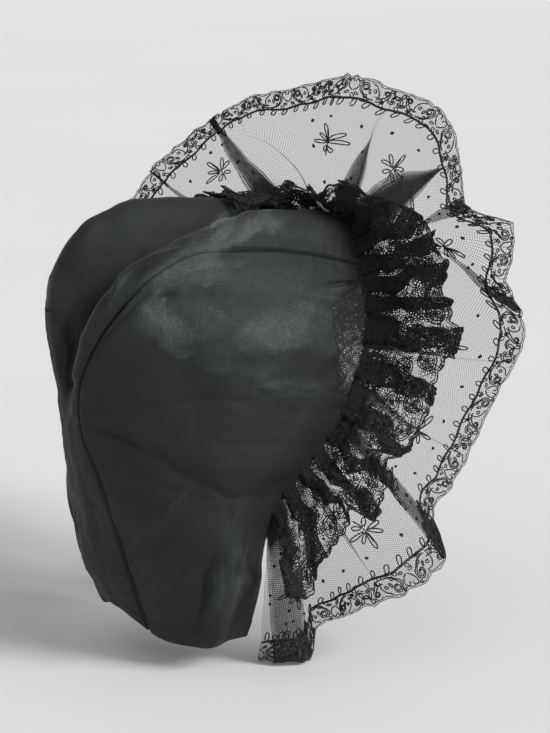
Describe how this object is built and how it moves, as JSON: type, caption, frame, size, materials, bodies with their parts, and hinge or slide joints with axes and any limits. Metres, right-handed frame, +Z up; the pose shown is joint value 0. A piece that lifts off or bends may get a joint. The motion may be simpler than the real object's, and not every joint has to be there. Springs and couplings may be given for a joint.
{
  "type": "poke bonnet",
  "caption": "Soft black silk satin bonnet with a valleyed crown, edged with a wide gathered frill of embroidered net and a dense lace ruffle.",
  "frame": {"origin": "where the top of a head touches the crown: on the underside of the crown strip, in the middle of its valley", "axes": "+Z up, the wearer looks along -Y, the wearer's left is +X"},
  "size_m": [0.3125, 0.291, 0.3848],
  "materials": {
    "satin": "black silk satin, slightly worn, with a cool grey sheen",
    "coarse_net": "coarse open black net",
    "embroidered_net": "fine black net with matt black thread embroidery",
    "ruffle_lace": "dense black lace, tightly pleated"
  },
  "bodies": {
    "root": {"crown_strip": "satin", "side_panel_right": "satin", "side_panel_left": "satin", "edge_net_right": "coarse_net", "edge_net_left": "coarse_net", "outer_frill": "embroidered_net", "inner_ruffle": "ruffle_lace"}
  },
  "joints": []
}
